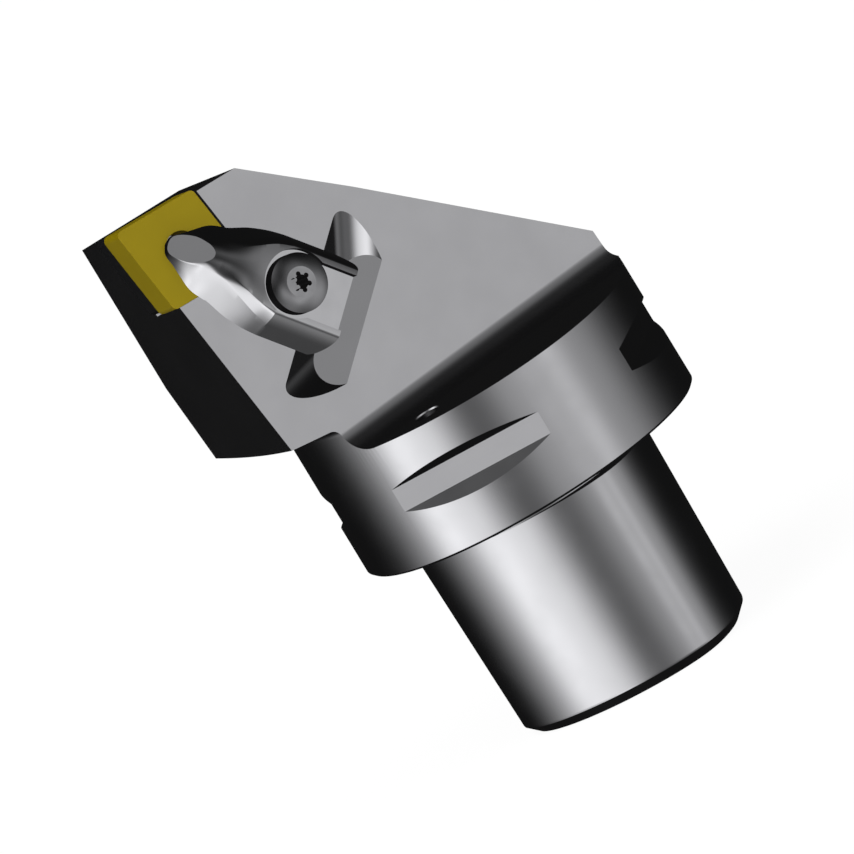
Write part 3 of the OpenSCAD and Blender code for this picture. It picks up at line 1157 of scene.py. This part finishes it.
        # The rings crowd towards the nose, where the shape turns most.
        steps = [i / self.sections for i in range(self.sections + 1)]
        rings += [self.section(first + (last - first) * (1 - (1 - t) ** self.crowding)) for t in steps]
        body = loft("clamp", rings, place)
        c, x, half = self.corner_r, self.heel_x + self.corner_r, self.ribs[0].foot + self.touch
        plan = arc(x, half - c, c, 90, 180, 24) + arc(x, c - half, c, 180, 270, 24)
        plan += [(last + 1, -half), (last + 1, half)]
        apply_cut(body, prism("plan", plan, -1, BIG, place), Cut.KEEP)
        tilt = place @ moved(self.facet_x, 0, self.facet_z) @ turned(y=self.facet_tilt)
        for name, x0, x1, low, high, frame in (
            ("sole", -BIG, BIG, -BIG, self.touch, place),
            ("arch", -BIG, self.arch_end, -5, self.arch, place),
            ("facet", self.facet_back, BIG, 0, BIG, tilt),
        ):
            apply_cut(body, prism(name, rectangle(x0, -BIG, x1, BIG), low, high, frame))
        return body

    def heel(self) -> Solid:
        """Builds the wedge that bears on the front wall of the holder's groove.

        Returns:
            The wedge.
        """
        x, toe, top, back = self.heel_x, self.heel_toe, self.heel_top, self.heel_wall + self.heel_bite
        low = x - self.heel_wall + toe
        outline = [(x, top), (x, low), (x + toe, low), (back, self.heel_bite), (back, top)]
        return prism("heel", outline, -self.heel_half, self.heel_half, self.datum.clamp() @ turned(x=90))

    def build(self) -> Solid:
        """Builds the clamp.

        Returns:
            The clamp, dressed.
        """
        place = self.datum.clamp()
        body = self.bar_and_finger()
        apply_cut(body, self.heel(), Cut.JOIN)
        pin = revolve("pin", list(self.pin_profile), 64, place @ moved(self.pin_x, 0, 0))
        apply_cut(body, pin, Cut.JOIN)
        flat = rectangle(-BIG, -self.flat_half, 0.0, self.flat_half)
        apply_cut(body, prism("spot_face", circle(self.spot_r, 128), self.pad_h, self.cutter_top, place))
        apply_cut(body, prism("flat", flat, self.pad_h, self.cutter_top, place))
        apply_cut(body, prism("hole", circle(self.hole_r, 64), -10, CLEAR, place))
        return finish(body, [FORGED.build()], self.sharp)


@dataclass
class ClampScrew:
    """The domed screw that pulls the clamp down."""

    datum: Datum
    tip: float = -14.0
    tip_step: float = 0.5
    thread_end: float = -1.0
    thread_form: tuple[Point, ...] = ((0.0, 0.0), (0.0, 0.25), (-0.45, 0.62))
    shank_from: float = -0.6
    pitch: float = 1.0
    pad_h: float = 4.22
    head_r: float = 4.05
    head_top: float = 6.25
    dome: float = 0.65
    dome_bulge: float = 0.58
    dome_steps: int = 16
    disc_r: float = 2.1
    # Six-lobe socket: lobes and core as shares of its radius.
    socket_r: float = 1.42
    socket_depth: float = 4.0
    lobes: int = 6
    lobe_r: float = 0.24
    lobe_at: float = 0.8
    lobe_start: float = 12.0
    core_r: float = 0.7
    sharp: float = 7.0

    def profile(self) -> Outline:
        """Draws half of the screw's section, from its tip to the flat disc on its dome.

        Returns:
            Radius and height of each corner.
        """
        r, head_r, head_top = self.datum.screw_r, self.head_r, self.head_top
        tip, step = self.tip, self.tip_step
        points = [(0.0, tip), (r - step, tip)]
        points += thread_rings(r, tip + step, self.thread_end, self.pitch, self.thread_form)
        points += [(r, self.shank_from), (r, self.pad_h), (head_r, self.pad_h), (head_r, head_top)]
        # The dome is steeper at the rim than where it meets the disc.
        for t in (i / self.dome_steps for i in range(1, self.dome_steps + 1)):
            rise = (1 + self.dome_bulge) * t - self.dome_bulge * t**2
            points.append((head_r - (head_r - self.disc_r) * t, head_top + self.dome * rise))
        return points + [(0.0, head_top + self.dome)]

    def build(self) -> Solid:
        """Builds the screw.

        Returns:
            The screw, dressed.
        """
        place = self.datum.clamp()
        top, r = self.head_top + self.dome, self.socket_r
        body = revolve("clamp_screw", self.profile(), 96, place)
        lobe = prism("lobe", circle(self.lobe_r * r, 32, self.lobe_at * r), 0, 6)
        socket = ring_of(lobe, self.lobes, self.lobe_start)
        socket.data.transform(place @ moved(0, 0, top - self.socket_depth))
        core = prism("core", circle(self.core_r * r, 48), top - self.socket_depth, top + 1, place)
        apply_cut(core, socket, Cut.JOIN)
        apply_cut(body, core)
        return finish(body, [SCREW.build()], self.sharp)


@dataclass
class Insert:
    """The rhombic cutting insert."""

    datum: Datum
    hole_r: float = 2.58

    def build(self) -> Solid:
        """Builds the insert.

        Returns:
            The insert, dressed.
        """
        d = self.datum
        body = prism("insert", d.rhombus(0.0), -d.insert_t, 0, d.insert())
        hole = [(0.0, -d.insert_t - 1), (self.hole_r, -d.insert_t - 1), (self.hole_r, 1.0), (0.0, 1.0)]
        apply_cut(body, revolve("insert_hole", hole, 64, d.insert()))
        return finish(body, [GOLD.build()])


@dataclass
class Shim:
    """The carbide shim under the insert."""

    datum: Datum
    inset: float = 0.3
    hole_r: float = 2.15
    sink_r: float = 3.8
    sink_depth: float = 1.6
    touch: float = 0.02

    def build(self) -> Solid:
        """Builds the shim.

        Returns:
            The shim, dressed.
        """
        d = self.datum
        low, high, over = d.seat_floor, -d.insert_t, 0.1 - d.insert_t
        body = prism("shim", d.rhombus(self.inset), low + self.touch, high - self.touch, d.insert())
        hole = [(0.0, low - 1), (self.hole_r, low - 1), (self.hole_r, high - self.sink_depth)]
        hole += [(self.sink_r, over), (0.0, over)]
        apply_cut(body, revolve("shim_hole", hole, 64, d.insert()))
        return finish(body, [CARBIDE.build()])


@dataclass
class ShimScrew:
    """The countersunk screw that holds the shim."""

    datum: Datum
    length: float = 10.0
    head_r: float = 3.3
    head_low: float = 1.5
    head_sink: float = 0.2
    hex_r: float = 1.4
    hex_depth: float = 1.6

    def build(self) -> Solid:
        """Builds the screw.

        Returns:
            The screw, dressed.
        """
        d = self.datum
        r, low, high = d.shim_screw_r, d.seat_floor - self.length, -d.insert_t
        top = high - self.head_sink
        profile = [(0.0, low), (r, low), (r, high - self.head_low), (self.head_r, top), (0.0, top)]
        body = revolve("shim_screw", profile, 64, d.insert())
        apply_cut(body, prism("hex", circle(self.hex_r, 6), high - self.hex_depth, high + 1, d.insert()))
        return finish(body, [SCREW.build()])


@dataclass
class ClampSpring:
    """The small spring that lifts the clamp when its screw is let out."""

    datum: Datum
    wire: float = 0.6
    wire_corner: float = 0.08
    low: float = -4.98
    high: float = 0.58
    turns: float = 3.5
    sharp: float = 40.0

    def build(self) -> Solid:
        """Builds the spring.

        Returns:
            The spring, dressed.
        """
        body = make_object("clamp_spring", [], [])
        step = body.modifiers.new("coil", "NODES")
        finish_of_wire = WIRE.build()
        step.node_group = coil_tree(finish_of_wire)
        sizes = {
            "Turns": self.turns,
            "Radius": self.datum.spring_r - self.wire / 2,
            "Height": self.high - self.low - self.wire,
            "Wire": self.wire,
            "Corner": self.wire_corner,
        }
        set_inputs(step, sizes)
        bake(body)
        body.data.transform(self.datum.clamp() @ moved(0, 0, self.low + self.wire / 2))
        return finish(body, [finish_of_wire], self.sharp)


@dataclass
class Nozzle:
    """The pressed-in coolant nozzle in the flange face."""

    datum: Datum
    jet_r: float = 0.7
    rim: float = 0.3
    cone: float = 0.9
    top: float = 17.6

    def build(self) -> Solid:
        """Builds the nozzle.

        Returns:
            The nozzle, dressed.
        """
        d, jet, top = self.datum, self.jet_r, self.top
        low = top - d.nozzle_len
        profile = [(jet, low), (d.nozzle_r, low), (d.nozzle_r, top), (d.nozzle_r - self.rim, top)]
        profile += [(jet, top - self.cone), (jet, low)]
        return finish(revolve("coolant_nozzle", profile, 64, moved(*d.nozzle_at, 0)), [SCREW.build()])


@dataclass(frozen=True)
class Softbox:
    """One soft lobe of light in the studio's surroundings, at an azimuth and elevation in degrees."""

    azimuth: float
    elevation: float
    strength: float
    tightness: float


@dataclass(frozen=True)
class Sun:
    """One soft sun that lights matt surfaces only, with its place and width in degrees."""

    name: str
    azimuth: float
    elevation: float
    strength: float
    width: float


@dataclass
class Studio:
    """Pale floor, soft lobes of light with dark between them, and the camera."""

    floor_z: float = -30.0
    floor_half: float = 2500.0
    page_share: float = 0.9
    page_glow: float = 1.06
    # The photograph's parallel view: pixels to the millimetre, frame, and where the part's origin falls.
    scale_px: float = 7.577
    frame_px: float = 854.0
    origin_px: Point = (530.42, 475.0)
    right: Triple = (-0.690, 0.513, -0.509)
    up: Triple = (-0.534, 0.12, 0.8374)
    camera_away: float = 0.6
    camera_sees: float = 10.0
    # Fitted to how bright the photograph's steel is in each direction that it mirrors.
    lobes: tuple[Softbox, ...] = (
        Softbox(19, -5, 0.9, 21.5),
        Softbox(14, -33, 0.9, 37.6),
        Softbox(-11, -28, 0.84, 12.0),
        Softbox(-4, -8, 0.78, 39.5),
        Softbox(108, -5, 0.62, 60.0),
        Softbox(126, -27, 0.54, 10.9),
        Softbox(48, 57, 0.53, 15.5),
        Softbox(91, -16, 0.48, 60.0),
        Softbox(75, 0, 0.47, 51.9),
        Softbox(68, -25, 0.27, 15.1),
        Softbox(-81, 62, 0.19, 49.8),
        Softbox(108, 18, 0.19, 27.4),
    )
    suns: tuple[Sun, ...] = (Sun("key", 20, 62, 1.6, 40), Sun("fill", 110, 40, 0.6, 60))
    ambient: float = 0.008

    def world(self) -> None:
        """Builds the surroundings: white to the camera, soft lobes to the object."""
        world = bpy.data.worlds.new("studio")
        bpy.context.scene.world = world
        world.use_nodes = True
        tree = world.node_tree
        tree.nodes.clear()
        add = partial(add_node, tree)
        look = add("ShaderNodeTexCoord").outputs["Generated"]
        so_far: dict = {}
        for lobe in self.lobes:
            # A lobe gives its strength times e to the power of its tightness times (cosine - 1).
            middle = {"operation": "DOT_PRODUCT", 1: towards(lobe.azimuth, lobe.elevation)}
            facing = add("ShaderNodeVectorMath", middle, {0: look})
            fall = {"operation": "MULTIPLY_ADD", 1: lobe.tightness, 2: -lobe.tightness}
            power = add("ShaderNodeMath", fall, {0: facing.outputs["Value"]})
            curve = add("ShaderNodeMath", {"operation": "EXPONENT"}, {0: power.outputs[0]})
            gain = {"operation": "MULTIPLY_ADD", 1: lobe.strength, 2: self.ambient}
            total = add("ShaderNodeMath", gain, {0: curve.outputs[0]} | so_far)
            so_far = {2: total.outputs[0]}
        ray = add("ShaderNodeLightPath")
        seen = add("ShaderNodeBackground", {"Color": (1, 1, 1, 1), "Strength": 1.0})
        lit = add("ShaderNodeBackground", {"Color": (1, 1, 1, 1)}, {"Strength": so_far[2]})
        sources = {0: ray.outputs["Is Camera Ray"], 1: lit.outputs[0], 2: seen.outputs[0]}
        mix = add("ShaderNodeMixShader", links=sources)
        add("ShaderNodeOutputWorld", links={"Surface": mix.outputs[0]})

    def floor(self) -> None:
        """Builds the pale floor, which keeps a soft shadow."""
        half = self.floor_half
        corners = [Vector((x, y, self.floor_z)) * MM for x, y in rectangle(-half, -half, half, half)]
        plane = make_object("floor", corners, [(0, 1, 2, 3)])
        # White matt paper, which the camera sees mostly as an even white page.
        material, tree = new_material("white_paper")
        add = partial(add_node, tree)
        ray = add("ShaderNodeLightPath").outputs["Is Camera Ray"]
        paper = add("ShaderNodeBsdfDiffuse", {"Color": linear("#F4F4F4")})
        glow = add("ShaderNodeEmission", {"Color": (1, 1, 1, 1), "Strength": self.page_glow})
        share = add("ShaderNodeMath", {"operation": "MULTIPLY", 1: self.page_share}, {0: ray})
        mix = add("ShaderNodeMixShader", links={0: share.outputs[0], 1: paper.outputs[0], 2: glow.outputs[0]})
        add("ShaderNodeOutputMaterial", links={"Surface": mix.outputs[0]})
        plane.data.materials.append(material)
        plane.visible_glossy = False

    def lamp(self, sun: Sun) -> None:
        """Adds one sun.

        Args:
            sun: its name, place and light.
        """
        light = bpy.data.lights.new(sun.name, "SUN")
        light.energy = sun.strength
        light.angle = math.radians(sun.width)
        stand = bpy.data.objects.new(sun.name, light)
        bpy.context.scene.collection.objects.link(stand)
        stand.rotation_euler = towards(sun.azimuth, sun.elevation).to_track_quat("Z", "Y").to_euler()
        stand.visible_glossy = False

    def camera(self) -> None:
        """Sets the camera where the photograph's was."""
        right = Vector(self.right).normalized()
        up = Vector(self.up)
        up = (up - up.dot(right) * right).normalized()
        back = right.cross(up)
        middle = self.frame_px / 2
        x = (middle - self.origin_px[0]) / self.scale_px
        y = (self.origin_px[1] - middle) / self.scale_px
        data = bpy.data.cameras.new("camera")
        data.type = "ORTHO"
        data.ortho_scale = self.frame_px / self.scale_px * MM
        data.clip_end = self.camera_sees
        camera = bpy.data.objects.new("camera", data)
        bpy.context.scene.collection.objects.link(camera)
        place = Matrix((right, up, back)).transposed().to_4x4()
        place.translation = (right * x + up * y) * MM + back * self.camera_away
        camera.matrix_world = place
        bpy.context.scene.camera = camera

    def build(self) -> None:
        """Builds the whole studio."""
        self.world()
        self.floor()
        for sun in self.suns:
            self.lamp(sun)
        self.camera()
        bpy.context.scene.view_settings.view_transform = "Standard"


@dataclass(frozen=True)
class Piece:
    """One finished piece and what it stands for."""

    node: str
    body: str
    slot: str
    make: Callable[[], Solid]

    def add(self) -> None:
        """Builds the piece, sets all but the spring under its body's empty, and hides its CAD node."""
        obj = self.make()
        obj.name = f"{self.node}_look"
        if self.node == "clamp_spring":
            blend_spring(obj)
        else:
            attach(obj, self.body)
        # The photograph shows no piece mirrored in another.
        obj.visible_glossy = False
        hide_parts(self.node)
        LOG.info("%s: %d faces on %s", obj.name, len(obj.data.polygons), self.body)


def blend_spring(obj: Solid) -> None:
    """Bakes the spring's place into its mesh, leaving its shape as built.

    Args:
        obj: the spring.
    """
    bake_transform(obj)


def main() -> None:
    """Builds every piece and the studio."""
    logging.basicConfig(level=logging.INFO, format="%(name)s %(message)s")
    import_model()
    datum = Datum()
    pieces = (
        Piece("body", "holder", "bright_steel", Holder(datum).build),
        Piece("shim", "holder", "dark_carbide", Shim(datum).build),
        Piece("shim_screw", "holder", "screw_steel", ShimScrew(datum).build),
        Piece("insert", "holder", "coated_carbide", Insert(datum).build),
        Piece("clamp", "clamp", "bright_steel", Clamp(datum).build),
        Piece("clamp_screw", "screw", "screw_steel", ClampScrew(datum).build),
        Piece("clamp_spring", "holder", "spring_steel", ClampSpring(datum).build),
        Piece("coolant_nozzle", "holder", "bright_steel", Nozzle(datum).build),
    )
    for piece in pieces:
        piece.add()
    Studio().build()


if __name__ == "__main__":
    main()
